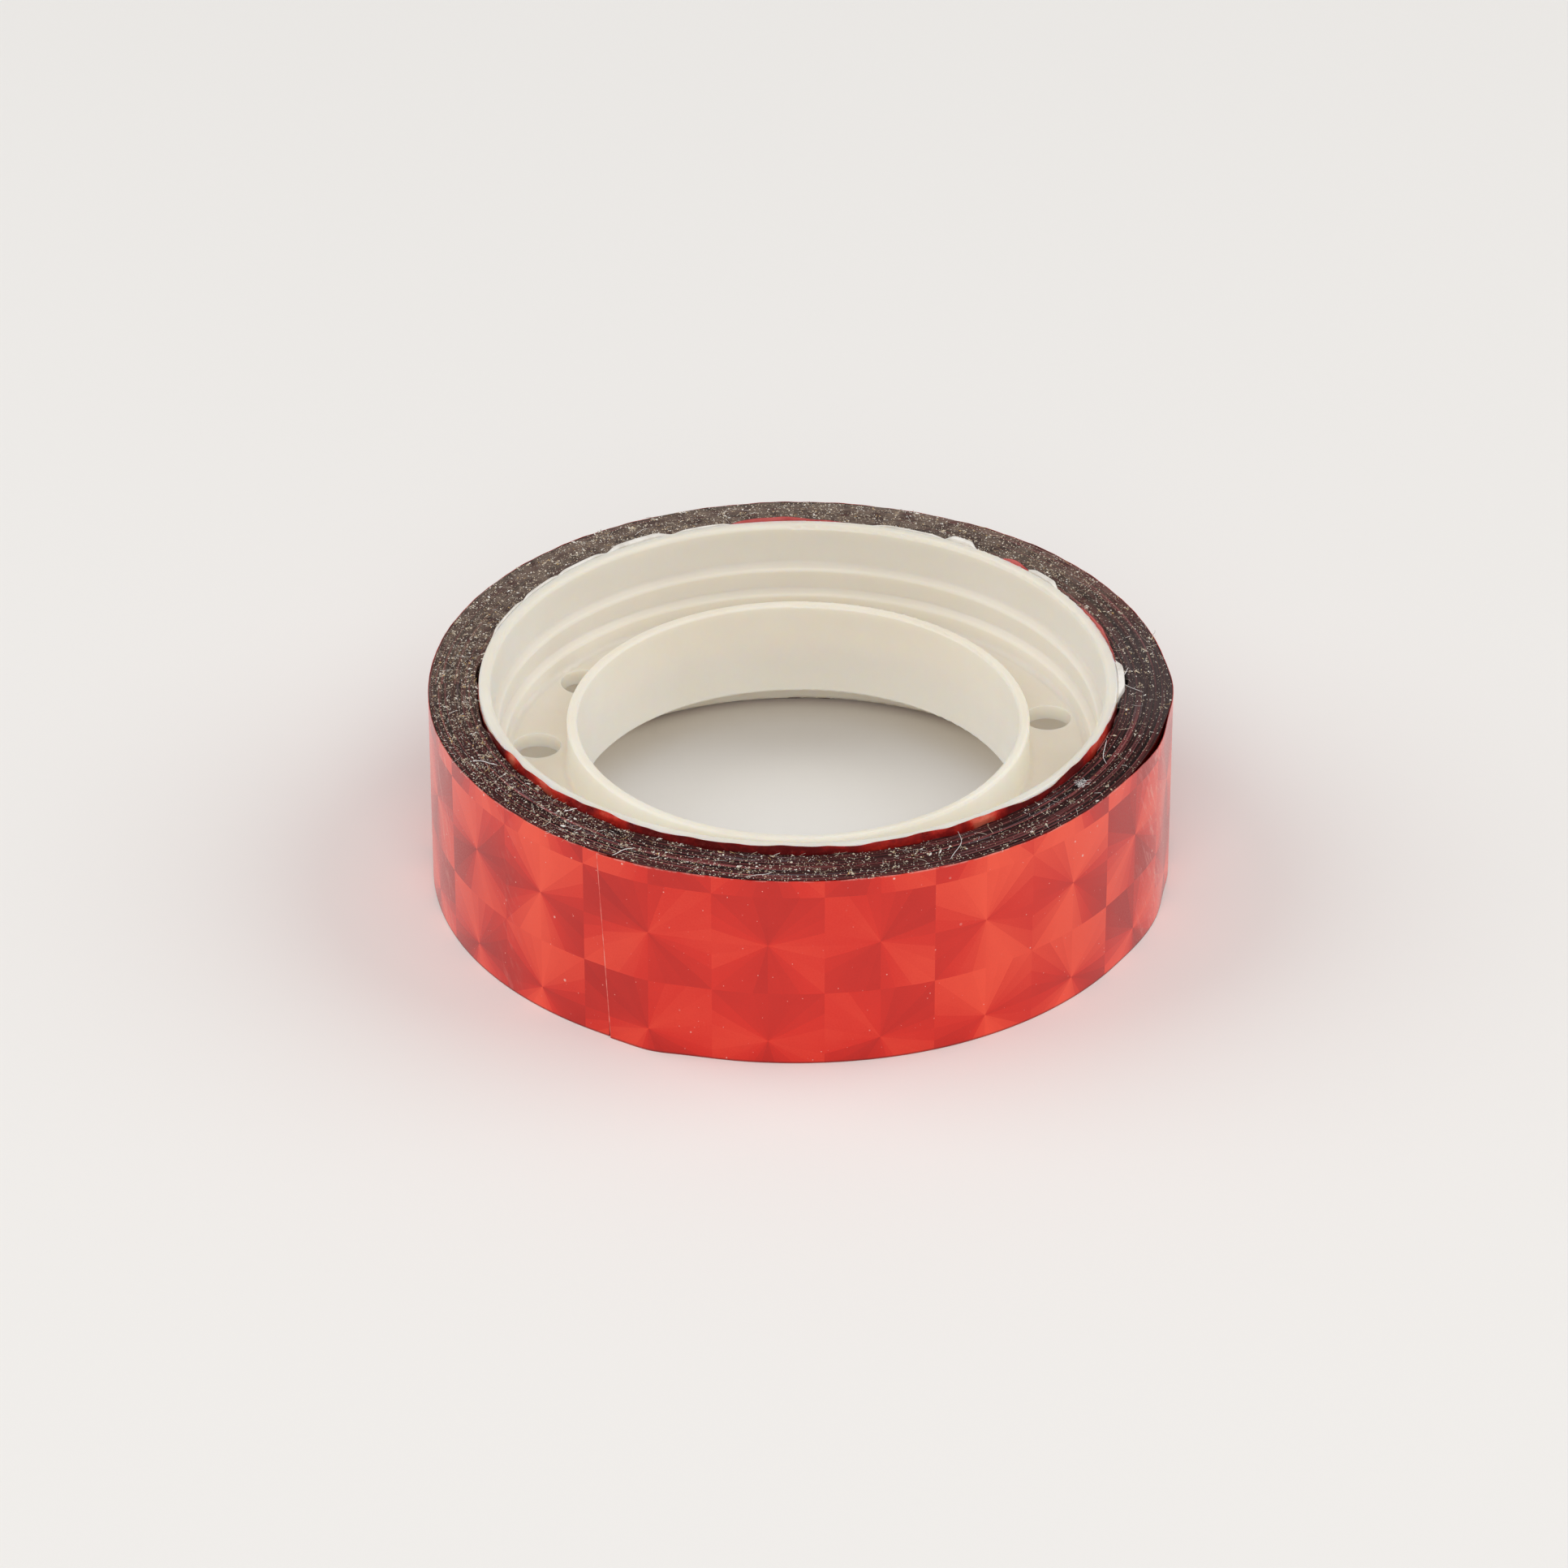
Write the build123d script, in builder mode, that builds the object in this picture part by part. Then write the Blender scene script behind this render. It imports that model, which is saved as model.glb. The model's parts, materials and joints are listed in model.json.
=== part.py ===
"""Small roll of metallised film tape on a moulded plastic core.

The roll lies on its side: the winding's lower side face is on z = 0, the core's axis is the Z axis,
and the tape's free end is on the -Y side. All sizes are in millimetres.
"""

from build123d import *
from math import cos, radians, sin
import os

os.makedirs("parts", exist_ok=True)

# Tape strip
tape_width = 12.0
film = 0.06  # backing and adhesive together
roll_radius = 21.23

# Moulded core: a rim that carries the tape, a web, and a hub ring for a 1 inch spindle
core_radius = 18.3
core_lift = 0.4  # the core sits this much higher than the tape
rim_wall = 0.68
ledge_top = 9.65
ledge_slope = 0.3
ledge_radius = 17.15
toe_top = 8.1
toe_slope = 0.3
toe_radius = 16.85
web_top = 7.05
web_thickness = 0.9
spindle_bore = 25.4
hub_wall = 0.6
hub_bottom = 3.9
hub_top = 9.8
draft = 0.05  # how far a moulded wall leans in from end to end

# Roundings of the core's edges
outer_edge = 0.12
rim_edge = 0.28
step_edge = 0.28
hub_edge = 0.18
web_fillet = 0.35

# Round holes through the web
hole_diameter = 2.75
hole_circle = 15.15
hole_angles = (17, 146, 175)

# First turn, bonded to the core and wound slightly askew
starter_rise = 0.5  # how far its near side stands above the winding

# Last turn: it leaves the turn beneath it where the free end lies, and has one loose bulge
bulge_start = -32.0
bulge_middle = -18.0
bulge_end = -6.0
bulge_height = 0.28

# Free end, a short tab that peels away
peel_angle = -104.5
tab_tip_angle = -120.4
tab_root_lift = 0.08
tab_tip_lift = 0.16
tab_gap = 0.2  # degrees between the last turn and each end of the tab

rim_bottom = core_lift
rim_top = core_lift + tape_width
rim_inner = core_radius - rim_wall
bore_radius = spindle_bore / 2
hub_outer = bore_radius + hub_wall
web_bottom = web_top - web_thickness
winding_inner = core_radius + film
winding_outer = roll_radius - film
last_turn_line = roll_radius - film / 2
turn_start = peel_angle + tab_gap
turn_end = 360 + tab_tip_angle - tab_gap


def polar(radius, angle):
    """A point in the XY plane at a radius and an angle in degrees."""
    return (radius * cos(radians(angle)), radius * sin(radians(angle)))


def tangent(angle):
    """The counter-clockwise direction along a circle at an angle in degrees."""
    return (-sin(radians(angle)), cos(radians(angle)))


# Core: radius and height of each corner of the section, with the corner's rounding
core_corners = [
    (core_radius, rim_bottom, outer_edge),
    (core_radius, rim_top, outer_edge),
    (rim_inner, rim_top, rim_edge),
    (rim_inner - draft, ledge_top + ledge_slope, step_edge),
    (ledge_radius, ledge_top, step_edge),
    (ledge_radius + 2 * draft, toe_top + toe_slope, outer_edge),
    (toe_radius, toe_top, step_edge),
    (toe_radius, web_top, web_fillet),
    (hub_outer, web_top, web_fillet),
    (hub_outer, hub_top, hub_edge),
    (bore_radius, hub_top, hub_edge),
    (bore_radius, hub_bottom, hub_edge),
    (hub_outer, hub_bottom, hub_edge),
    (hub_outer, web_bottom, web_fillet),
    (toe_radius, web_bottom, web_fillet),
    (rim_inner, rim_bottom, rim_edge),
]

with BuildPart() as core:
    with BuildSketch(Plane.XZ) as core_section:
        with BuildLine() as core_outline:
            FilletPolyline(
                [(radius, height) for radius, height, rounding in core_corners],
                radius=[rounding for radius, height, rounding in core_corners],
                close=True,
            )
        make_face()
    revolve(axis=Axis.Z)
    with Locations(*[(*polar(hole_circle, angle), web_top) for angle in hole_angles]):
        Hole(radius=hole_diameter / 2, depth=web_thickness)
core.part.label = "core"
export_step(core.part, "parts/core.step")

# Starter turn: one thickness of tape around the core, its edges in two parallel tilted planes
starter_slope = starter_rise / (2 * winding_inner)
lower_edge = Plane(origin=(0, 0, starter_rise / 2), z_dir=(0, starter_slope, 1))
upper_edge = Plane(origin=(0, 0, tape_width + starter_rise / 2), z_dir=(0, starter_slope, 1))

with BuildPart() as starter_turn:
    with BuildSketch() as starter_ring:
        Circle(winding_inner)
        Circle(core_radius, mode=Mode.SUBTRACT)
    extrude(amount=tape_width + starter_rise)
    split(bisect_by=lower_edge, keep=Keep.TOP)
    split(bisect_by=upper_edge, keep=Keep.BOTTOM)
starter_turn.part.label = "starter_turn"
export_step(starter_turn.part, "parts/starter_turn.step")

# Winding: every turn between the starter turn and the last one
with BuildPart() as wound_tape:
    with BuildSketch() as winding_ring:
        Circle(winding_outer)
        Circle(winding_inner, mode=Mode.SUBTRACT)
    extrude(amount=tape_width)
wound_tape.part.label = "wound_tape"
export_step(wound_tape.part, "parts/wound_tape.step")

# Last turn: from the peel line around the winding to the free end's tip, with the loose bulge
with BuildPart() as last_turn:
    with BuildSketch() as last_turn_section:
        with BuildLine() as last_turn_path:
            CenterArc((0, 0), last_turn_line, turn_start, bulge_start - turn_start)
            Spline(
                polar(last_turn_line, bulge_start),
                polar(last_turn_line + bulge_height, bulge_middle),
                polar(last_turn_line, bulge_end),
                tangents=(tangent(bulge_start), tangent(bulge_end)),
            )
            CenterArc((0, 0), last_turn_line, bulge_end, turn_end - bulge_end)
        trace(line_width=film)
    extrude(amount=tape_width)
last_turn.part.label = "last_turn"
export_step(last_turn.part, "parts/last_turn.step")

# Free end: it springs slightly away from the winding towards its tip
with BuildPart() as tape_end:
    with BuildSketch() as tape_end_section:
        with BuildLine() as tape_end_path:
            Spline(
                polar(last_turn_line + tab_tip_lift, tab_tip_angle),
                polar(last_turn_line + tab_root_lift, peel_angle),
                tangents=(tangent(tab_tip_angle), tangent(peel_angle)),
            )
        trace(line_width=film)
    extrude(amount=tape_width)
tape_end.part.label = "tape_end"
export_step(tape_end.part, "parts/tape_end.step")
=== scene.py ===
"""Looks of the tape roll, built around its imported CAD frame. Lengths are in metres."""

import json
import math
import random

import bpy
from mathutils import Matrix, Vector


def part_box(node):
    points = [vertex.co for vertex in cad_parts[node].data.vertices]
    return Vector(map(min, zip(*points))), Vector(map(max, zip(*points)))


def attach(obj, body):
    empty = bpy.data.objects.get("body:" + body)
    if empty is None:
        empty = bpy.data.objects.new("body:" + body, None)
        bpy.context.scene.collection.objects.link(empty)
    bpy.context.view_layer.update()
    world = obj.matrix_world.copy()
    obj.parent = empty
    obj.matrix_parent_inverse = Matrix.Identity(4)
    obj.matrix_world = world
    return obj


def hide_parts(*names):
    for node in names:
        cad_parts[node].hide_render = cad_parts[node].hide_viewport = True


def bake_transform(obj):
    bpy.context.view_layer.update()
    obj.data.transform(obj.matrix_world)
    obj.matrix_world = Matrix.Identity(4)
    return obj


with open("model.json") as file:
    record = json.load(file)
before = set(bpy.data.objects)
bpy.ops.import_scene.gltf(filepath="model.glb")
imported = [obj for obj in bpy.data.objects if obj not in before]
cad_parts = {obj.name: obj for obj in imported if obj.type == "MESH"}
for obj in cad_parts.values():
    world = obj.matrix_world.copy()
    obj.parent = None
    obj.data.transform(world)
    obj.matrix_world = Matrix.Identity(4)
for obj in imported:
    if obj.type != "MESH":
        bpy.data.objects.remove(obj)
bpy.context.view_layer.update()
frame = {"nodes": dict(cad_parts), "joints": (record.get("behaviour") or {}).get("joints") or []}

MM = 0.001
TURN = 2 * math.pi

# Sizes that the frame gives
winding_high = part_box("wound_tape")[1]
core_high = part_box("core")[1]
tape_width = winding_high.z
winding_radius = winding_high.x
roll_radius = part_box("last_turn")[1].y
film = roll_radius - winding_radius
rim_radius = core_high.x
rim_top = core_high.z
hinge = Vector(frame["joints"][0]["pos_m"])
peel_angle = math.atan2(hinge.y, hinge.x)
tab_lift = 0.13 * MM  # how far the free end's tip springs off the roll
tab_tip_angle = -math.acos(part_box("tape_end")[0].x / (roll_radius + tab_lift))
film_shown = 0.7 * film  # thinner than the real film, so that it stays clear of the turn beneath
film_rows = [0, 0.004, 0.02, 0.15, 0.3, 0.5, 0.7, 0.85, 0.93, 0.98, 0.996, 1]  # shares of its height
sharp_edge = 50.0  # edges folded more sharply than this, in degrees, aren't smoothed
station = 0.5  # degrees from one section of the roll to the next
fine_station = 0.4

# Embossed pattern: square tiles, each a fan of narrow sectors round its centre
tile = 6.3 * MM
star_height = 7.75 * MM
column_edge = 1.46 * MM  # along the film from the front, where one tile ends and the next begins
sector = 15.0
tone_turn = 2.15  # painted reflection: the fan's bright direction turns this much faster than the roll
tone_front = 102.0  # and at the front it stands this far clockwise of upright


def signed(degrees):
    """The same direction, between -180 and 180 degrees."""
    return (degrees + 180) % 360 - 180


def wave(angle, centre, width):
    """A smooth bump of height 1 round the roll, with its centre and width in degrees."""
    away = signed(math.degrees(angle) - centre)
    return math.exp(-((away / width) ** 2))


def bumps(angle, *shapes):
    """A sum of smooth bumps, each given by its height, and its centre and width in degrees."""
    return sum(height * wave(angle, centre, width) for height, centre, width in shapes)


def ripples(angle, *shapes):
    """A sum of sines round the roll, each given by its height, its number of waves and its phase."""
    return sum(height * math.sin(count * angle + phase) for height, count, phase in shapes)


def smooth(low, high, x):
    """0 below low, 1 above high, and a smooth step between."""
    t = min(1, max(0, (x - low) / (high - low)))
    return t * t * (3 - 2 * t)


# ---------------------------------------------------------------- node helper


class Tree:
    """A material's node tree, with short calls for the nodes used here."""

    def __init__(self, name):
        self.material = bpy.data.materials.new(name)
        self.material.use_nodes = True
        self.nodes = self.material.node_tree.nodes
        self.links = self.material.node_tree.links
        self.shader = self.nodes["Principled BSDF"]

    def put(self, value, socket):
        if isinstance(value, bpy.types.NodeSocket):
            self.links.new(value, socket)
        elif value is not None:
            socket.default_value = value

    def math(self, operation, a, b=None, c=None):
        node = self.nodes.new("ShaderNodeMath")
        node.operation = operation
        for value, socket in zip((a, b, c), node.inputs):
            self.put(value, socket)
        return node.outputs[0]

    def attribute(self, name):
        node = self.nodes.new("ShaderNodeAttribute")
        node.attribute_name = name
        return node.outputs["Vector"]

    def position(self):
        return self.nodes.new("ShaderNodeTexCoord").outputs["Object"]

    def towards(self, angle, heading):
        """How far a place round the roll lies towards a heading in degrees: 1 there, -1 opposite."""
        return self.math("COSINE", self.math("SUBTRACT", angle, math.radians(heading)))

    def split(self, vector):
        node = self.nodes.new("ShaderNodeSeparateXYZ")
        self.put(vector, node.inputs[0])
        return node.outputs[0], node.outputs[1], node.outputs[2]

    def join(self, x, y, z):
        node = self.nodes.new("ShaderNodeCombineXYZ")
        for value, socket in zip((x, y, z), node.inputs):
            self.put(value, socket)
        return node.outputs[0]

    def noise(self, vector, scale, detail, rough, stretch=None):
        if stretch is not None:
            mapping = self.nodes.new("ShaderNodeMapping")
            self.put(vector, mapping.inputs["Vector"])
            mapping.inputs["Scale"].default_value = stretch
            vector = mapping.outputs[0]
        node = self.nodes.new("ShaderNodeTexNoise")
        self.put(vector, node.inputs["Vector"])
        node.inputs["Scale"].default_value = scale
        node.inputs["Detail"].default_value = detail
        node.inputs["Roughness"].default_value = rough
        return node.outputs[0]

    def white(self, vector):
        node = self.nodes.new("ShaderNodeTexWhiteNoise")
        self.put(vector, node.inputs["Vector"])
        return node.outputs["Value"]

    def cells(self, vector, scale):
        node = self.nodes.new("ShaderNodeTexVoronoi")
        self.put(vector, node.inputs["Vector"])
        node.inputs["Scale"].default_value = scale
        return node.outputs["Distance"], node.outputs["Color"]

    def remap(self, value, low, high, out_low=0.0, out_high=1.0):
        node = self.nodes.new("ShaderNodeMapRange")
        node.interpolation_type = "SMOOTHSTEP"
        for item, number in zip(node.inputs, (None, low, high, out_low, out_high)):
            if number is not None:
                item.default_value = number
        self.put(value, node.inputs[0])
        return node.outputs[0]

    def ramp(self, value, *stops):
        node = self.nodes.new("ShaderNodeValToRGB")
        elements = node.color_ramp.elements
        while len(elements) < len(stops):
            elements.new(0.5)
        for element, (place, colour) in zip(elements, stops):
            element.position = place
            element.color = (*colour, 1)
        self.put(value, node.inputs[0])
        return node.outputs[0]

    def mix(self, factor, a, b):
        node = self.nodes.new("ShaderNodeMix")
        node.data_type = "RGBA"
        self.put(factor, node.inputs[0])
        for value, socket in ((a, node.inputs[6]), (b, node.inputs[7])):
            if isinstance(value, tuple):
                value = (*value, 1)
            self.put(value, socket)
        return node.outputs[2]

    def bump(self, height, distance, strength=1.0, normal=None):
        node = self.nodes.new("ShaderNodeBump")
        node.inputs["Distance"].default_value = distance
        node.inputs["Strength"].default_value = strength
        self.put(height, node.inputs["Height"])
        self.put(normal, node.inputs["Normal"])
        return node.outputs[0]

    def finish(self, **inputs):
        """Fills the shader's sockets by their names, and returns the material."""
        for name, value in inputs.items():
            socket = name.replace("_", " ").title().replace("Ior", "IOR")
            self.put(value, self.shader.inputs[socket])
        return self.material


# ---------------------------------------------------------------- materials


def core_material():
    """White moulded polystyrene with faint flow marks and a few dark specks.

    It's translucent: its thin walls let part of the lamps' light through, warmer than it came in.
    Its upright faces are painted paler than its level ones, painted light for light scattered in the
    walls, and its far side is painted darker and yellower, as painted shade.
    """
    t = Tree("core_plastic")
    place = t.position()
    flow = t.noise(place, 160, 4, 0.6)
    level = t.ramp(flow, (0.3, (0.79, 0.735, 0.64)), (0.7, (0.835, 0.795, 0.715)))
    upright = t.ramp(flow, (0.3, (0.87, 0.835, 0.765)), (0.7, (0.91, 0.885, 0.83)))
    facing = t.nodes.new("ShaderNodeTexCoord").outputs["Normal"]
    lean = t.math("ABSOLUTE", t.split(facing)[2])
    # painted light: upright faces get a paler colour than level ones
    colour = t.mix(t.remap(lean, 0.15, 0.95), upright, level)
    x, y, z = t.split(place)
    # painted shade: the far side is painted darker and yellower
    far = t.towards(t.math("ARCTAN2", y, x), 90)
    colour = t.mix(t.remap(far, 0.1, 0.95, 0, 0.5), colour, (0.71, 0.665, 0.575))
    near, speck_tint = t.cells(place, 420)
    chance = t.math("GREATER_THAN", t.white(speck_tint), 0.965)
    speck = t.math("MULTIPLY", t.remap(near, 0.06, 0.13, 1, 0), chance)
    colour = t.mix(t.math("MULTIPLY", speck, 0.55), colour, (0.30, 0.25, 0.19))
    grain = t.noise(place, 2600, 3, 0.6)
    ripple = t.noise(place, 420, 2, 0.5, (1, 1, 0.25))
    normal = t.bump(grain, 0.00002, 0.35, t.bump(ripple, 0.00006, 0.5))
    gloss = t.remap(flow, 0.25, 0.75, 0.34, 0.48)
    t.finish(base_color=colour, roughness=gloss, normal=normal, subsurface_weight=1.0,
             subsurface_scale=0.9 * MM, subsurface_radius=(1.0, 0.8, 0.55))
    let_through = t.nodes.new("ShaderNodeBsdfTransparent")
    let_through.inputs["Color"].default_value = (0.62, 0.55, 0.44, 1)
    lamp_ray = t.nodes.new("ShaderNodeLightPath").outputs["Is Shadow Ray"]
    blend = t.nodes.new("ShaderNodeMixShader")
    for output, socket in zip((lamp_ray, t.shader.outputs[0], let_through.outputs[0]), blend.inputs):
        t.put(output, socket)
    t.put(blend.outputs[0], t.nodes["Material Output"].inputs["Surface"])
    return t.material


def flash_material():
    """Thin glossy white plastic, greyer where it is thin."""
    t = Tree("rim_flash")
    patch = t.noise(t.position(), 900, 3, 0.6)
    colour = t.ramp(patch, (0.35, (0.68, 0.64, 0.58)), (0.6, (0.88, 0.85, 0.80)))
    normal = t.bump(patch, 0.00005, 0.5)
    return t.finish(base_color=colour, roughness=0.22, normal=normal)


def film_wear(t, arc, height, front):
    """How far wear whitens the film: fine specks all over, and scuffs at the right and left."""
    place = t.join(arc, height, 0.0)
    scuffs = ((71, 9, 0.5), (-72, 7, 0.35), (-50, 4, 0.15))  # degrees from the front, reach, strength
    wear = None
    for scale, share in ((3600, 0.80), (1500, 0.90)):  # how fine the specks are, and how many are bare
        near, tint = t.cells(place, scale)
        pick, size, strength = t.split(tint)
        speck = t.math("SUBTRACT", t.math("MULTIPLY_ADD", size, 0.10, 0.06), near)
        speck = t.math("MULTIPLY", t.remap(speck, 0, 0.05), t.math("GREATER_THAN", pick, share))
        speck = t.math("MULTIPLY", speck, t.math("MULTIPLY_ADD", strength, 0.7, 0.3))
        wear = speck if wear is None else t.math("MAXIMUM", wear, speck)
    frayed = t.noise(place, 1400, 3, 0.7)
    at_edge = t.remap(height, 11.88 * MM, 11.97 * MM, 0, 0.45)
    wear = t.math("MAXIMUM", wear, t.math("MULTIPLY", at_edge, t.remap(frayed, 0.4, 0.6)))
    slanted = t.join(t.math("MULTIPLY_ADD", height, 0.5, arc), height, 0.0)
    streaks = t.noise(slanted, 1900, 3, 0.7, (1, 0.25, 1))
    degrees = t.math("DEGREES", front)
    for centre, reach, strength in scuffs:
        away = t.math("ABSOLUTE", t.math("SUBTRACT", degrees, centre))
        scuff = t.math("MULTIPLY", t.remap(away, 0, reach, strength, 0), t.remap(streaks, 0.5, 0.72))
        wear = t.math("MAXIMUM", wear, scuff)
    return wear


def fan_tone(t, arc, height, front):
    """Painted reflection on the embossed pattern: how bright each tile's sectors look, and two painted
    highlights.
    """
    painted_highlights = ((38, 26, 0.30), (-44, 16, 0.18))  # degrees from the front, reach, and brightness of each painted highlight from the side lamps
    after_cut = t.remap(arc, -9 * MM, -5.2 * MM, 0.08, 0)
    before_cut = t.remap(arc, 112 * MM, 117 * MM, 0, 0.07)
    stretch = t.math("ADD", after_cut, before_cut)
    across = t.math("DIVIDE", t.math("SUBTRACT", arc, column_edge), tile)
    across = t.math("ADD", across, t.math("SUBTRACT", stretch, 0.5))
    up = t.math("DIVIDE", t.math("SUBTRACT", height, star_height), tile)
    column = t.math("ROUND", across)
    row = t.math("ROUND", up)
    right = t.math("SUBTRACT", across, column)
    above = t.math("SUBTRACT", up, row)
    polar = t.math("DEGREES", t.math("ARCTAN2", right, above))
    step = t.math("FLOOR", t.math("DIVIDE", polar, sector))
    groove = t.math("MULTIPLY", t.math("ADD", step, 0.5), sector)
    groove = t.math("ADD", t.math("MULTIPLY", groove, 0.8), t.math("MULTIPLY", polar, 0.2))
    along = t.math("DEGREES", front)
    bright = t.math("MULTIPLY_ADD", along, tone_turn, tone_front)
    double = t.math("RADIANS", t.math("MULTIPLY", t.math("SUBTRACT", groove, bright), 2))
    swing = t.math("COSINE", double)
    chance = t.white(t.join(step, column, row))
    # painted reflection: the sectors' contrast grows towards the sides of the roll
    side_on = t.remap(t.math("ABSOLUTE", along), 4, 62, 0.55, 1.45)
    tone = t.math("MULTIPLY_ADD", t.math("MULTIPLY", swing, side_on), 0.26, 0.45)
    for centre, reach, lift in painted_highlights:
        away = t.math("ABSOLUTE", t.math("SUBTRACT", along, centre))
        tone = t.math("ADD", tone, t.remap(away, 0, reach, lift, 0))
    return t.math("MULTIPLY_ADD", t.math("SUBTRACT", chance, 0.5), 0.10, tone)


def film_material(name, patterned=True, shade=1.0):
    """Red metallised film under a clear coat; the fans are sectors of an embossed square tile."""
    t = Tree(name)
    arc, height, front = t.split(t.attribute("strip"))
    place = t.join(arc, height, 0.0)
    grain = t.noise(place, 9000, 2, 0.6)
    patch = t.noise(place, 260, 3, 0.5)
    if patterned:
        tone = fan_tone(t, arc, height, front)
    else:
        tone = t.math("MULTIPLY_ADD", patch, 0.7, 0.05)
    tone = t.math("MULTIPLY_ADD", t.math("SUBTRACT", grain, 0.5), 0.22, tone)
    tone = t.math("MULTIPLY_ADD", t.math("SUBTRACT", patch, 0.5), 0.18, tone)
    tints = (0.50, 0.012, 0.008), (0.79, 0.028, 0.014), (1.0, 0.105, 0.050)
    dark, middle, light = (tuple(shade * part for part in tint) for tint in tints)
    colour = t.ramp(tone, (0.08, dark), (0.5, middle), (0.95, light))
    rough = t.remap(grain, 0.3, 0.7, 0.38, 0.52)
    if patterned:
        colour = t.mix(film_wear(t, arc, height, front), colour, (0.95, 0.50, 0.44))
        # painted shade: the film darkens towards its lower edge, where it meets the floor
        painted_contact_shade = t.remap(height, 0.03 * MM, 0.16 * MM, 0.6, 0)
        colour = t.mix(painted_contact_shade, colour, (0.14, 0.03, 0.022))
    normal = t.bump(grain, 0.000008, 0.4, t.bump(patch, 0.00005, 0.5))
    return t.finish(base_color=colour, metallic=1.0, roughness=rough, normal=normal,
                    coat_weight=0.8, coat_roughness=0.22, coat_ior=1.5)


def starter_material():
    """The first turn: a painted highlight makes it bright red where it folds over the rim's edge; dark
    maroon where it stands up.
    """
    t = Tree("film_starter")
    arc, height, fold = t.split(t.attribute("strip"))
    crease = t.noise(t.join(arc, height, 0.0), 900, 4, 0.65)
    # painted highlight: the fold value brightens the film where it folds over the rim
    tone = t.math("MULTIPLY_ADD", t.math("SUBTRACT", crease, 0.5), 1.5, fold)
    colour = t.ramp(tone, (0.0, (0.26, 0.018, 0.018)), (0.25, (0.50, 0.022, 0.020)),
                    (0.6, (0.90, 0.045, 0.025)), (1.0, (1.0, 0.22, 0.13)))
    rough = t.remap(crease, 0.3, 0.7, 0.25, 0.45)
    normal = t.bump(crease, 0.00008, 0.6)
    return t.finish(base_color=colour, metallic=0.55, roughness=rough, normal=normal,
                    coat_weight=0.5, coat_roughness=0.2)


def adhesive_material():
    """The film's sticky back: dull pink."""
    t = Tree("film_adhesive")
    patch = t.noise(t.position(), 700, 3, 0.6)
    colour = t.ramp(patch, (0.35, (0.50, 0.07, 0.07)), (0.65, (0.66, 0.15, 0.14)))
    return t.finish(base_color=colour, roughness=t.remap(patch, 0.3, 0.7, 0.4, 0.6))


def cut_material():
    """Film whitened where it was cut, in uneven strength along the cut."""
    t = Tree("film_cut")
    patch = t.noise(t.position(), 1500, 3, 0.6)
    colour = t.ramp(patch, (0.40, (0.70, 0.07, 0.05)), (0.65, (0.85, 0.33, 0.27)))
    return t.finish(base_color=colour, roughness=0.5)


def side_material():
    """Edges of the wound turns: dark, with maroon lines where a turn stands proud, and dusty, with
    painted grey-lilac highlights along the turns' glossy edges.

    The far side is the haziest, the right end greyer, and the right front has the fewest flecks.
    """
    t = Tree("tape_side")
    place = t.position()
    x, y, z = t.split(place)
    radius = t.math("SQRT", t.math("ADD", t.math("MULTIPLY", x, x), t.math("MULTIPLY", y, y)))
    angle = t.math("ARCTAN2", y, x)
    lines = t.noise(t.join(radius, t.math("MULTIPLY", angle, 0.00010), 0.0), 7500, 2, 0.75)
    bands = t.noise(t.join(radius, t.math("MULTIPLY", angle, 0.00025), 0.002), 2200, 2, 0.6)
    colour = t.ramp(lines, (0.40, (0.008, 0.003, 0.003)), (0.50, (0.045, 0.012, 0.011)),
                    (0.58, (0.15, 0.034, 0.034)), (0.68, (0.36, 0.12, 0.12)))
    colour = t.mix(t.remap(bands, 0.42, 0.62, 0, 0.5), colour, (0.022, 0.009, 0.009))
    # painted highlight: thin grey-lilac streaks along the turns' glossy edges
    lilac = t.noise(t.join(radius, t.math("MULTIPLY", angle, 0.0004), 0.005), 5200, 2, 0.6)
    colour = t.mix(t.remap(lilac, 0.60, 0.70, 0, 0.5), colour, (0.20, 0.15, 0.17))
    far = t.towards(angle, 105)
    clump = t.noise(place, 1100, 3, 0.6)
    haze = t.math("MULTIPLY", t.remap(far, -0.35, 0.95, 0.0, 0.85), t.remap(clump, 0.2, 0.6, 0.6, 1))
    hazy = t.ramp(clump, (0.35, (0.095, 0.075, 0.065)), (0.65, (0.20, 0.155, 0.125)))
    colour = t.mix(haze, colour, hazy)
    grey = t.remap(t.towards(angle, 3), 0.92, 1.0, 0, 0.6)
    colour = t.mix(grey, colour, (0.075, 0.062, 0.062))
    spared = t.remap(t.towards(angle, -25), 0.25, 0.95, 0.12, 0.34)
    for scale, share in ((11000, 0.68), (5600, 0.80)):  # how fine the flecks are, and how many are bare
        near, tint = t.cells(place, scale)
        pick, warmth, size = t.split(tint)
        fleck = t.math("SUBTRACT", t.math("MULTIPLY_ADD", size, 0.22, 0.20), near)
        pick = t.math("SUBTRACT", t.math("MULTIPLY_ADD", clump, 0.35, pick), spared)
        chosen = t.math("GREATER_THAN", pick, share)
        fleck = t.math("MULTIPLY", t.remap(fleck, 0, 0.10), chosen)
        bright = t.ramp(warmth, (0.1, (0.26, 0.18, 0.11)), (0.5, (0.66, 0.53, 0.38)),
                        (0.9, (0.95, 0.90, 0.80)))
        colour = t.mix(t.math("MULTIPLY", fleck, 0.9), colour, bright)
    dust = t.noise(place, 5200, 4, 0.75)
    height = t.math("ADD", t.math("MULTIPLY", lines, 0.6), t.math("MULTIPLY", dust, 0.4))
    normal = t.bump(height, 0.00006, 0.8)
    gloss = t.remap(dust, 0.4, 0.65, 0.5, 0.9)
    return t.finish(base_color=colour, roughness=gloss, normal=normal, specular_ior_level=0.12)


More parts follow.
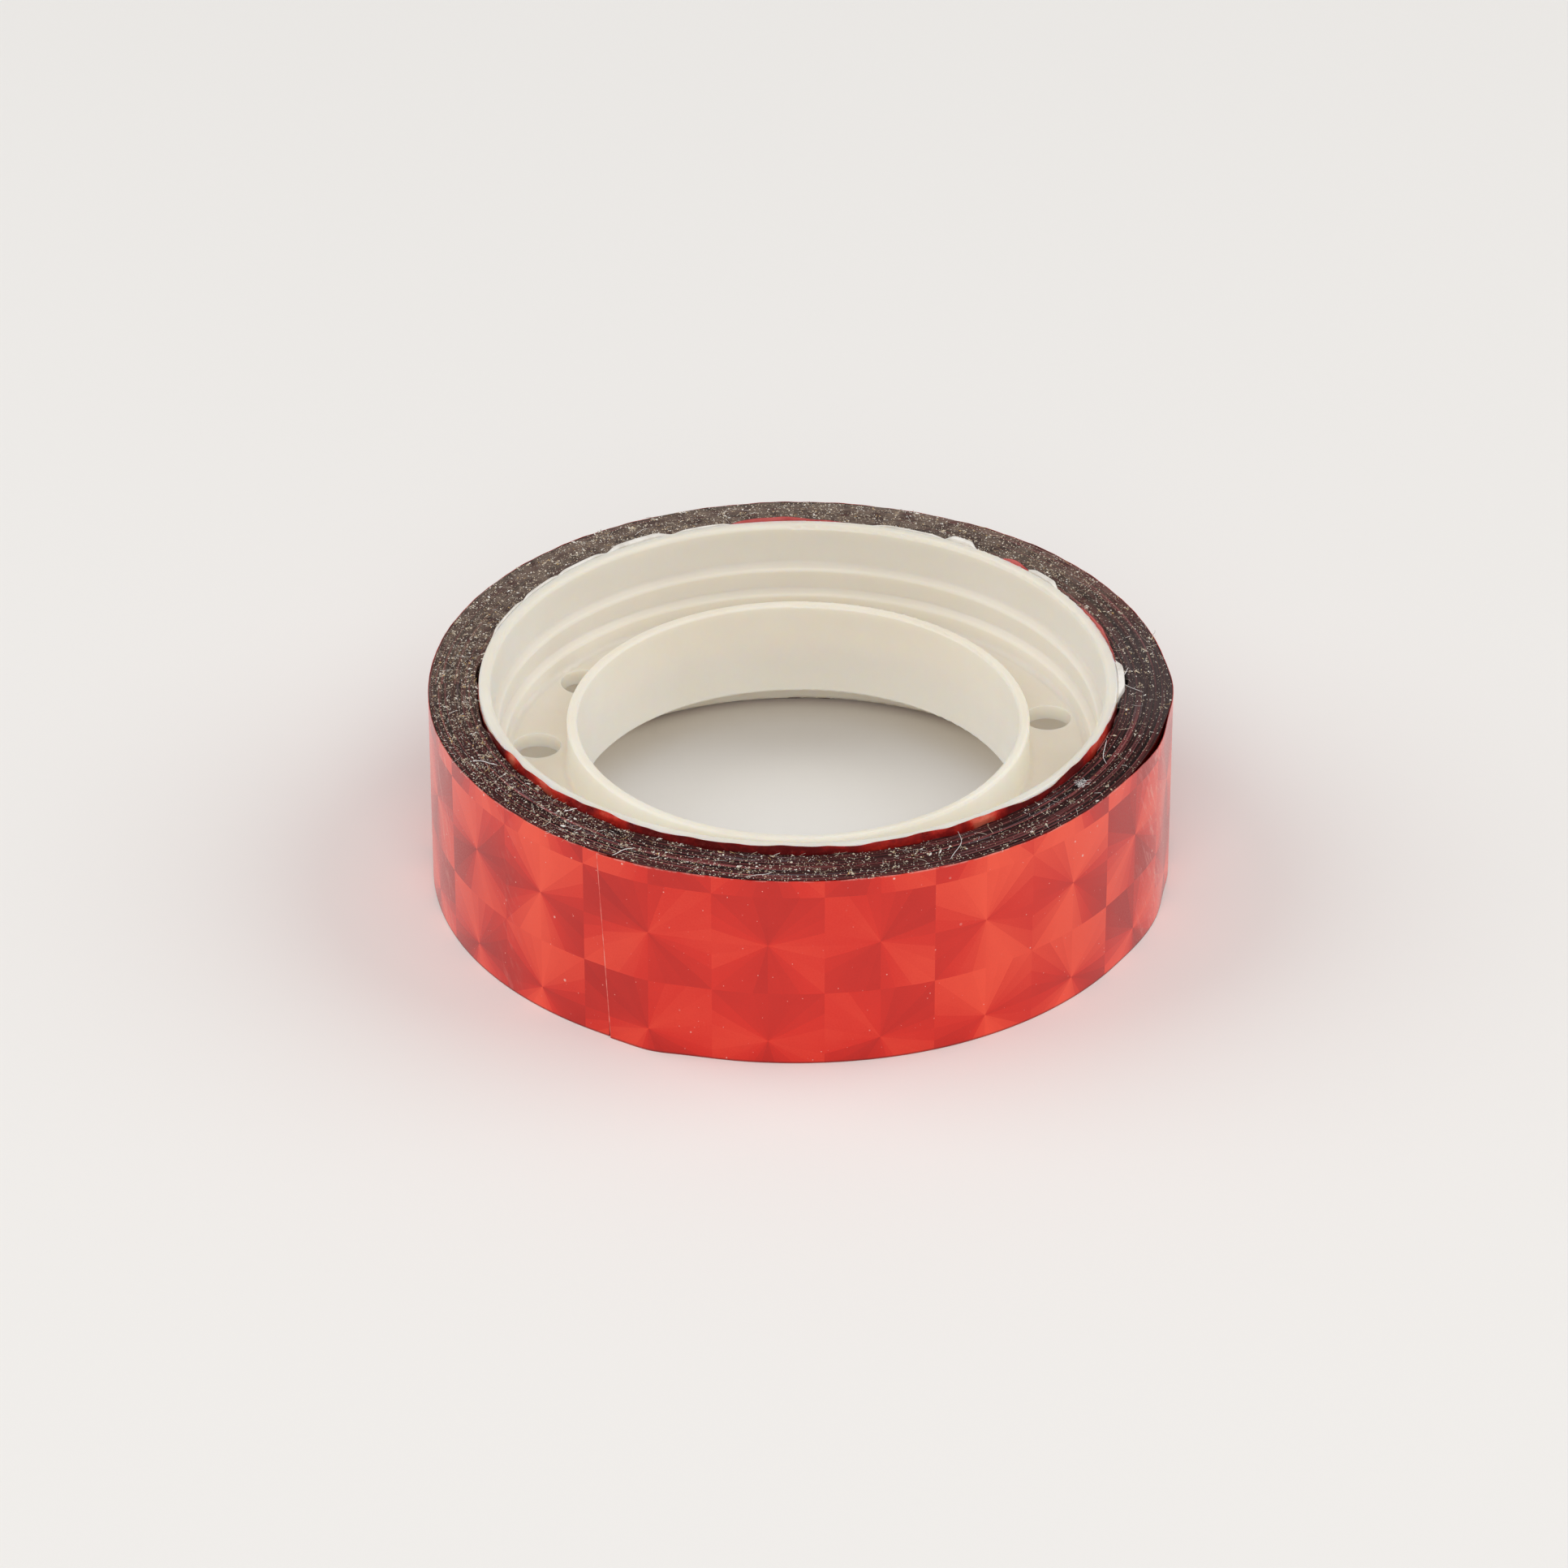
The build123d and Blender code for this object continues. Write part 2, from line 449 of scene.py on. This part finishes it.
def hair_material():
    """Stray hairs and fluff, white with a lilac cast."""
    t = Tree("hairs")
    mottle = t.noise(t.position(), 4000, 2, 0.5)
    colour = t.ramp(mottle, (0.3, (0.74, 0.70, 0.72)), (0.7, (0.93, 0.92, 0.90)))
    return t.finish(base_color=colour, roughness=0.6)


def dust_material():
    """Lint and dust: brown, cream, white and gold, one tint for each grain."""
    t = Tree("dust")
    tint = t.nodes.new("ShaderNodeNewGeometry").outputs["Random Per Island"]
    colour = t.ramp(tint, (0.22, (0.22, 0.15, 0.10)), (0.30, (0.58, 0.47, 0.34)),
                    (0.62, (0.72, 0.63, 0.50)), (0.70, (0.92, 0.90, 0.86)), (0.90, (0.90, 0.87, 0.82)),
                    (0.94, (0.62, 0.38, 0.12)))
    mottle = t.noise(t.position(), 6000, 2, 0.5)
    colour = t.mix(t.remap(mottle, 0.3, 0.7, 0, 0.35), colour, (0.36, 0.31, 0.26))
    return t.finish(base_color=colour, roughness=0.8)


# ---------------------------------------------------------------- mesh making


def make_piece(name, vertices, faces, materials, strip=None, face_material=None):
    """A mesh object. strip gives each vertex's place on the tape, face_material each face's slot."""
    mesh = bpy.data.meshes.new(name)
    mesh.from_pydata(vertices, [], faces)
    mesh.validate()
    piece = bpy.data.objects.new(name, mesh)
    bpy.context.scene.collection.objects.link(piece)
    for material in materials:
        mesh.materials.append(material)
    if face_material is not None:
        mesh.polygons.foreach_set("material_index", face_material)
    if strip is not None:
        layer = mesh.attributes.new("strip", "FLOAT_VECTOR", "POINT")
        layer.data.foreach_set("vector", [number for point in strip for number in point])
    mesh.polygons.foreach_set("use_smooth", [True] * len(mesh.polygons))
    mesh.set_sharp_from_angle(angle=math.radians(sharp_edge))
    mesh.update()
    return piece


def loft(sections, closed):
    """Quads between loops of points; the loops close on themselves, and closed joins last to first."""
    count = len(sections[0])
    vertices = [point for section in sections for point in section]
    faces = []
    spans = len(sections) if closed else len(sections) - 1
    for i in range(spans):
        this, following = i * count, ((i + 1) % len(sections)) * count
        for j in range(count):
            k = (j + 1) % count
            faces.append((this + j, following + j, following + k, this + k))
    return vertices, faces


def round_point(radius, angle, height):
    """The point at a distance from the roll's axis, an angle round it, and a height."""
    return (radius * math.cos(angle), radius * math.sin(angle), height)


def from_front(angle):
    """The angle round the roll from its front, between half a turn either way."""
    return (angle + math.pi / 2 + math.pi) % TURN - math.pi


def angles(start, end, step):
    """Angles in radians from start to end in degrees, about step degrees apart."""
    count = max(2, round(abs(end - start) / step))
    return [math.radians(start + (end - start) * i / count) for i in range(count + 1)]


# ---------------------------------------------------------------- shape of the roll


def out_of_round(angle, height):
    """How far the roll's outline stands off a true circle."""
    corner = 0.22 * wave(angle, -113, 4.5) * (1 - 0.75 * height / tape_width)
    swells = bumps(angle, (0.22, -2, 7), (-0.06, -88, 15))
    wobble = ripples(angle, (0.02, 3, 1), (0.012, 7, 2))
    return (corner + swells + wobble) * MM


def inner_edge(angle):
    """Radius of the winding's inner edge: the first turns are crumpled away from the rim."""
    push = bumps(angle, (0.42, 1, 5), (0.30, 39, 5), (0.32, 58, 4), (0.20, 72, 5), (0.45, 119, 8),
                 (0.22, 146, 5), (0.12, 162, 4), (0.10, 175, 3))
    ruffle = ripples(angle, (0.05, 23, 0), (0.04, 41, 1), (0.03, 67, 0))
    return rim_radius + (0.12 + push + ruffle) * MM


def starter_top(angle):
    """Height of the starter turn's upper edge above the winding."""
    degrees = signed(math.degrees(angle))
    near = 0.44 * smooth(-168, -152, degrees) * (1 - smooth(-12, -4, degrees))
    near *= 1 - 0.40 * wave(angle, -41, 5)
    slivers = bumps(angle, (0.62, 17, 11), (0.60, 46, 4), (0.62, 92, 12))
    crumple = ripples(angle, (0.05, 11, 1), (0.04, 19, 0), (0.03, 43, 2))
    return max(0.02, min(0.66, near + slivers + crumple * smooth(0, 0.3, near + slivers))) * MM


def starter_lean(angle):
    """How far the starter turn's free edge folds in over the rim's rounded edge, or out if negative."""
    folds = bumps(angle, (0.16, -151.5, 3), (0.13, -139.5, 6), (0.08, -125, 7), (0.08, -71, 12),
                  (0.14, -55, 4), (0.14, -23.5, 6))
    crumple = ripples(angle, (0.012, 17, 0.5), (0.010, 37, 0))
    return (folds - 0.02 + crumple) * MM


def loose_bulge(angle):
    """How far the last turn stands off the winding at the right front."""
    degrees = signed(math.degrees(angle))
    return 0.20 * MM * smooth(-32, -18, degrees) * (1 - smooth(-17, -7, degrees))


def last_turn_top(angle):
    """Height of the outermost film's upper edge: uneven, and lower where the turn is loose."""
    dip = 0.20 * wave(angle, -16, 8)
    ripple = ripples(angle, (0.02, 9, 0), (0.015, 31, 1), (0.01, 83, 0))
    return tape_width + (ripple - dip - 0.02) * MM


# ---------------------------------------------------------------- pieces


def make_winding(materials):
    """All the turns between the first and the last: two finely ridged side faces and a wall."""
    rng = random.Random(11)
    turns = round((winding_radius - rim_radius) / film)
    proud = [rng.gauss(0, 0.018) + (0.07 if rng.random() < 0.12 else 0) for _ in range(turns + 2)]
    rate = [rng.choice((1, 2, 3, 4)) for _ in proud]
    phase = [rng.uniform(0, TURN) for _ in proud]
    steps = 76  # across a side face
    wall_rings = 6
    drop = 0.03 * MM  # the upper face lies this far below the tape's full width, before its ridges
    margin = 0.02  # the wall is patterned this far past the free end, in radians

    def ridge(share, angle):
        """How far the turn at a share of the side face stands proud there."""
        place = share * turns
        low = int(place)
        blend = smooth(0, 1, place - low)
        rise = [proud[i] * (0.55 + 0.45 * math.sin(rate[i] * angle + phase[i])) for i in (low, low + 1)]
        return (rise[0] * (1 - blend) + rise[1] * blend) * MM

    sections, strip, kinds = [], [], []
    for angle in angles(180, 540, station)[:-1]:
        inner = inner_edge(angle)
        outer = winding_radius + out_of_round(angle, tape_width)
        section = []
        for i in range(steps + 1):
            share = i / steps
            radius = inner + (outer - inner) * share
            section.append(round_point(radius, angle, tape_width + ridge(share, angle) - drop))
        for i in range(1, wall_rings):
            height = tape_width * (1 - i / wall_rings)
            section.append(round_point(winding_radius + out_of_round(angle, height), angle, height))
        under = winding_radius + out_of_round(angle, 0)
        for i in range(steps, -1, -2):
            share = i / steps
            radius = inner + (under - inner) * share
            section.append(round_point(radius, angle, max(0, -ridge(share, angle + 2))))
        front = from_front(angle)
        sections.append(section)
        strip.extend((front * roll_radius, point[2], front) for point in section)
        under_tab = tab_tip_angle - margin < front - math.pi / 2 < peel_angle + margin
        # the wall takes the darker copy of the film, as painted shade, except under the free end
        wall = 2 if under_tab else 1
        kinds += [wall if steps <= j < steps + wall_rings else 0 for j in range(len(section))]
    vertices, faces = loft(sections, True)
    piece = make_piece("winding", vertices, faces, materials, strip, kinds)
    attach(piece, "roll")
    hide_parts("wound_tape")


def film_strip(stations, radius, place, low):
    """Sections of a thin closed strip of film, and each point's place on the tape.

    radius and place give a point's distance from the axis and its angle round it, from its station
    and its height. low is the height of the strip's lower edge.
    """
    sections, strip = [], []
    for angle in stations:
        high = last_turn_top(angle)
        heights = [low + (high - low) * share for share in film_rows]
        outer = [round_point(radius(angle, h), place(angle, h), h) for h in heights]
        inner = [round_point(radius(angle, h) - film_shown, place(angle, h), h) for h in heights]
        sections.append(outer + inner[::-1])
        for h in heights + heights[::-1]:
            turned = place(angle, h)
            strip.append(((turned + math.pi / 2) * roll_radius, h, from_front(turned)))
    return sections, strip


def capped(sections):
    """Lofts a strip's sections, and closes both its ends."""
    vertices, faces = loft(sections, False)
    count = len(sections[0])
    half = count // 2
    last = (len(sections) - 1) * count
    for j in range(half - 1):
        faces.append((j, j + 1, count - 2 - j, count - 1 - j))
        faces.append((last + count - 1 - j, last + count - 2 - j, last + j + 1, last + j))
    return vertices, faces


def inner_faces(sections, inner_kind, outer_kind):
    """Material of each lofted quad: the strip's inward half differs from its outward half."""
    count = len(sections[0])
    half = count // 2
    ring = [outer_kind if j < half else inner_kind for j in range(count)]
    caps = [outer_kind] * (2 * (half - 1))
    return ring * (len(sections) - 1) + caps


def make_last_turn(materials):
    """Once around the roll, from the peel line to just under the free end's tip."""
    overlap = 0.6  # degrees
    end = 360 + math.degrees(tab_tip_angle) + overlap
    stations = angles(math.degrees(peel_angle), end, station)

    def radius(angle, height):
        return roll_radius + out_of_round(angle, height) + loose_bulge(angle)

    sections, strip = film_strip(stations, radius, lambda angle, height: angle, 0.01 * MM)
    vertices, faces = capped(sections)
    piece = make_piece("last_turn_film", vertices, faces, materials, strip,
                       inner_faces(sections, 1, 0))
    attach(piece, "roll")
    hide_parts("last_turn")


def make_free_end(materials):
    """The tab lies on the roll, springs off it a little at its cut, and the cut runs slightly askew."""
    start, end = math.degrees(peel_angle), math.degrees(tab_tip_angle)
    askew = math.radians(2.0)
    cut_width = 0.11  # degrees of pale, whitened film along the cut

    def share(angle):
        return (math.degrees(angle) - start) / (end - start)

    def skewed(angle, height):
        return angle - askew * share(angle) * (height / tape_width - 0.5)

    def radius(angle, height):
        return roll_radius + out_of_round(angle, height) + tab_lift * smooth(0, 1, share(angle))

    stations = angles(start, end + cut_width, fine_station) + [math.radians(end)]
    sections, strip = film_strip(stations, radius, skewed, 0.0)
    vertices, faces = capped(sections)
    kinds = inner_faces(sections, 1, 0)
    ring = len(sections[0])
    cut_start = ring * (len(sections) - 2)
    kinds[cut_start:cut_start + ring] = [2] * ring
    piece = make_piece("free_end_film", vertices, faces, materials, strip, kinds)
    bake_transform(piece)
    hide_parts("tape_end")


def make_starter(materials):
    """First turn, bonded to the rim: a crumpled ribbon, higher than the winding on the near side."""
    stations = angles(180, 540, fine_station)[:-1]
    thickness = 0.03 * MM
    wall = rim_radius + 0.045 * MM
    shoulder = tape_width - 0.1 * MM  # it stands straight up to here
    sections, strip = [], []
    for angle in stations:
        rise = starter_top(angle)
        lean = starter_lean(angle) if rise > 0.3 * MM else 0
        profile = [(wall, 0.3 * MM), (wall, 0.9 * tape_width), (wall, shoulder)]
        for share in (0.25, 0.45, 0.6, 0.75, 0.9, 1.0):
            height = shoulder + (rise + 0.1 * MM) * share
            over = smooth(rim_top - 0.25 * MM, rim_top + 0.2 * MM, height)
            ripple = 0.012 * MM * math.sin(90 * angle) * share
            profile.append((wall - lean * over + ripple, height))
        section = [round_point(r, angle, h) for r, h in profile]
        section += [round_point(r - thickness, angle, h) for r, h in reversed(profile)]
        # fold drives the painted highlight of starter_material
        fold = max(0, lean) / (0.15 * MM)
        arc = from_front(angle) * rim_radius
        strip += [(arc, h, fold) for r, h in profile + profile[::-1]]
        sections.append(section)
    vertices, faces = loft(sections, True)
    half = len(sections[0]) // 2
    kinds = ([0] * half + [1] * half) * len(sections)
    piece = make_piece("starter_film", vertices, faces, materials, strip, kinds)
    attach(piece, "roll")
    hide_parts("starter_turn")


def make_flash(material):
    """White crescents in the gaps where the first turns are crumpled away from the rim."""
    vertices, faces = [], []
    inside = rim_radius + 0.01 * MM
    crescents = (  # centre and half length in degrees, width and height above the rim
        (1, 9, 0.36, 0.0), (39, 7, 0.32, 0.05), (58.5, 5, 0.34, 0.16), (69, 12, 0.14, 0.04),
        (108, 10, 0.14, 0.04), (121, 11, 0.38, 0.08), (134, 11, 0.24, 0.03), (145, 10, 0.20, 0.02),
        (157, 12, 0.16, 0.0),
    )
    for centre, reach, width, rise in crescents:
        sections = []
        for angle in angles(centre - reach, centre + reach, station):
            bulk = smooth(0, 0.7, wave(angle, centre, reach * 0.55))
            outside = inside + (0.03 + width * bulk) * MM
            crest = rim_top + (rise * bulk - 0.15 * (1 - bulk) + 0.01 * math.sin(31 * angle) - 0.03) * MM
            middle = (inside + outside) / 2
            foot = crest - 0.5 * MM
            profile = [(inside, foot), (outside, foot), (outside, crest - 0.12 * MM),
                       (outside - 0.03 * MM, crest - 0.03 * MM), (middle, crest),
                       (inside, crest - 0.02 * MM)]
            sections.append([round_point(r, angle, h) for r, h in profile])
        more, sides = loft(sections, False)
        base, last, count = len(vertices), len(more) - len(sections[0]), len(sections[0])
        sides += [tuple(range(count)), tuple(last + j for j in reversed(range(count)))]
        vertices += more
        faces += [tuple(base + corner for corner in side) for side in sides]
    piece = make_piece("rim_flash", vertices, faces, [material])
    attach(piece, "roll")


def tube(points, radius, vertices, faces):
    """Adds a closed tube along a few points."""
    base = len(vertices)
    last = len(points) - 1
    sides = 3
    end_taper = 0.55
    for i, point in enumerate(points):
        ahead = (points[min(i + 1, last)] - points[max(i - 1, 0)]).normalized()
        side = ahead.cross(Vector((0, 0, 1)))
        side = side.normalized() if side.length > 0.01 else Vector((1, 0, 0))
        over = side.cross(ahead)
        size = radius * (end_taper if i in (0, last) else 1)
        for k in range(sides):
            turned = k * TURN / sides
            vertices.append(tuple(point + (side * math.cos(turned) + over * math.sin(turned)) * size))
    for i in range(last):
        for k in range(sides):
            n = (k + 1) % sides
            a, b = base + sides * i, base + sides * (i + 1)
            faces.append((a + k, a + n, b + n, b + k))
    faces.append(tuple(base + k for k in reversed(range(sides))))
    end = base + sides * last
    faces.append(tuple(end + k for k in range(sides)))


def grain(centre, size, heading, rng, vertices, faces):
    """Adds a small closed octahedron with uneven corners, longer along its heading."""
    base = len(vertices)
    ahead = Vector((math.cos(heading), math.sin(heading), 0)) * rng.uniform(1.0, 2.2)
    aside = Vector((-math.sin(heading), math.cos(heading), 0)) * 0.8
    for axis in (ahead, aside, Vector((0, 0, 1))):
        for sign in (1, -1):
            vertices.append(tuple(centre + axis * sign * size * rng.uniform(0.6, 1.2)))
    for x in (0, 1):
        for y in (2, 3):
            for z in (4, 5):
                face = (base + x, base + y, base + z)
                flip = (x + (y - 2) + (z - 4)) % 2
                faces.append(face[::-1] if flip else face)


def curl(start, heading, length, bend, rise, steps):
    """Points along a fibre that lies nearly flat and turns by bend on its way."""
    points = [start]
    for _ in range(steps):
        heading += bend / steps
        stride = Vector((math.cos(heading), math.sin(heading), rise)) * length / steps
        points.append(points[-1] + stride)
    return points


def make_dust(material):
    """Lint fibres and dust grains caught on the turns' sticky edges, thickest on the left."""
    rng = random.Random(5)
    fibres, grains, clump_count = 900, 5600, 260
    vertices, faces = [], []

    def place():
        """A random angle and radius on the upper side face, kept the more often the dustier it is."""
        while True:
            angle = rng.uniform(0, TURN)
            share = rng.random()
            crowd = 0.40 + 0.60 * max(wave(angle, 195, 45), 0.7 * wave(angle, 100, 60))
            crowd = max(crowd, 0.6 * wave(angle, 265, 50)) - 0.16 * wave(angle, 335, 25)
            if rng.random() < crowd:
                inner = inner_edge(angle) + 0.05 * MM
                return angle, inner + (winding_radius - 0.05 * MM - inner) * share

    for _ in range(fibres):
        angle, radius = place()
        length = min(1.3, rng.lognormvariate(-1.25, 0.6)) * MM
        start = Vector(round_point(radius, angle, tape_width + rng.uniform(0.0, 0.03) * MM))
        points = curl(start, rng.uniform(0, TURN), length, rng.gauss(0, 1.3), abs(rng.gauss(0, 0.03)), 4)
        tube(points, rng.uniform(0.006, 0.013) * MM, vertices, faces)
    clumps = [place() for _ in range(clump_count)]
    for _ in range(grains):
        angle, radius = place()
        if rng.random() < 0.5:
            angle, radius = rng.choice(clumps)
            angle += rng.gauss(0, 0.12 * MM) / radius
            radius += rng.gauss(0, 0.10 * MM)
        centre = Vector(round_point(radius, angle, tape_width + 0.003 * MM))
        size = min(0.10, rng.lognormvariate(-3.45, 0.45)) * MM
        grain(centre, size, rng.uniform(0, TURN), rng, vertices, faces)
    piece = make_piece("side_dust", vertices, faces, [material])
    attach(piece, "roll")


def make_hairs(material):
    """The larger stray hairs on the near half, and a tuft of white fluff."""
    rng = random.Random(23)
    tuft_strands, tuft_radius, tuft_angle = 34, 19.35, 325
    vertices, faces = [], []
    hairs = (  # start radius in mm and angle in degrees, the end's, sag and half thickness in mm
        (19.5, 333, 18.6, 340, 0.25, 0.020),
        (20.7, 294, 18.2, 299, -0.30, 0.016),
        (21.2, 241, 19.9, 243, 0.10, 0.020),
        (19.1, 227, 18.4, 228, 0.05, 0.030),
        (19.6, 357, 18.9, 5, 0.55, 0.022),
        (20.4, 205, 19.2, 208, 0.20, 0.022),
        (20.9, 262, 20.3, 266, -0.12, 0.014),
    )
    for start_radius, start_angle, end_radius, end_angle, sag, thick in hairs:
        start = Vector(round_point(start_radius * MM, math.radians(start_angle), 0))
        end = Vector(round_point(end_radius * MM, math.radians(end_angle), 0))
        across = Vector((start.y - end.y, end.x - start.x, 0)).normalized() * sag * MM
        points = []
        for i in range(9):
            share = i / 8
            height = tape_width + (0.03 + 0.02 * math.sin(9 * share + start_angle)) * MM
            wiggle = across * (math.sin(math.pi * share) + 0.25 * math.sin(TURN * share + end_angle))
            points.append(start.lerp(end, share) + wiggle + Vector((0, 0, height)))
        tube(points, thick * MM, vertices, faces)
    for _ in range(tuft_strands):
        angle = math.radians(tuft_angle + rng.gauss(0, 0.5))
        radius = (tuft_radius + rng.gauss(0, 0.11)) * MM
        start = Vector(round_point(radius, angle, tape_width + rng.uniform(0.01, 0.10) * MM))
        heading, length = rng.uniform(0, TURN), rng.uniform(0.2, 0.6) * MM
        points = curl(start, heading, length, rng.gauss(0, 3.2), 0.05, 8)
        tube(points, rng.uniform(0.006, 0.010) * MM, vertices, faces)
    piece = make_piece("stray_hairs", vertices, faces, [material])
    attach(piece, "roll")


# ---------------------------------------------------------------- floor, light and camera

lamp_tint = (1.0, 0.99, 0.98)


def make_stage():
    """A plain pale floor, and an even, slightly warm light from all round."""
    t = Tree("floor")
    tone = t.noise(t.position(), 3.0, 2, 0.5)
    colour = t.ramp(tone, (0.3, (0.845, 0.835, 0.82)), (0.7, (0.865, 0.855, 0.84)))
    t.finish(base_color=colour, roughness=0.9, specular_ior_level=0.1)
    reach = 4.0
    corners = [(-reach, -reach, 0), (reach, -reach, 0), (reach, reach, 0), (-reach, reach, 0)]
    floor = make_piece("floor", corners, [(0, 1, 2, 3)], [t.material])

    world = bpy.data.worlds.new("studio")
    bpy.context.scene.world = world
    world.use_nodes = True
    background = world.node_tree.nodes["Background"]
    background.inputs["Color"].default_value = (1.0, 0.985, 0.965, 1)
    background.inputs["Strength"].default_value = 0.41


def add_light(name, place, size, power):
    """A round soft lamp that faces the roll."""
    light = bpy.data.lights.new(name, "AREA")
    light.shape = "DISK"
    light.size = size
    light.energy = power
    light.color = lamp_tint
    lamp = bpy.data.objects.new(name, light)
    lamp.location = place
    lamp.rotation_euler = (Vector((0, 0, 0)) - Vector(place)).to_track_quat("-Z", "Y").to_euler()
    bpy.context.scene.collection.objects.link(lamp)


def make_camera():
    """The photograph's view: about 425 mm away and 31.6 degrees down, through a long lens."""
    camera = bpy.data.cameras.new("camera")
    camera.sensor_width = 36
    camera.lens = 167.65
    camera.clip_start = 0.01
    viewer = bpy.data.objects.new("camera", camera)
    place = Matrix.Translation((0, -0.35936, 0.22621))
    pitch, yaw, roll = 0.5513, 0.0023, -0.0013  # radians; pitch is down from level
    turn = Matrix.Rotation(yaw, 4, "Z") @ Matrix.Rotation(math.pi / 2 - pitch, 4, "X")
    viewer.matrix_world = place @ turn @ Matrix.Rotation(roll, 4, "Z")
    bpy.context.scene.collection.objects.link(viewer)
    bpy.context.scene.camera = viewer


make_camera()
make_stage()
add_light("left_lamp", (-0.50, 0.05, 0.44), size=0.60, power=1.6)
add_light("right_lamp", (0.50, 0.05, 0.44), size=0.60, power=1.6)
add_light("front_lamp", (0, -1.0, 0.78), size=1.0, power=5.9)
bpy.context.scene.view_settings.view_transform = "Standard"

patterned_film = film_material("film_front")
# painted shade: a darker copy of the film for faces in shade: the film's inner faces and the winding's
# wall, which shows only in gaps
shaded_film = film_material("film_back_shaded", patterned=False, shade=0.40)
side = side_material()

core = frame["nodes"]["core"]
core.data.materials.clear()
core.data.materials.append(core_material())

make_winding([side, shaded_film, patterned_film])
make_last_turn([patterned_film, shaded_film])
make_free_end([patterned_film, shaded_film, cut_material()])
make_starter([starter_material(), adhesive_material()])
make_flash(flash_material())
make_dust(dust_material())
make_hairs(hair_material())
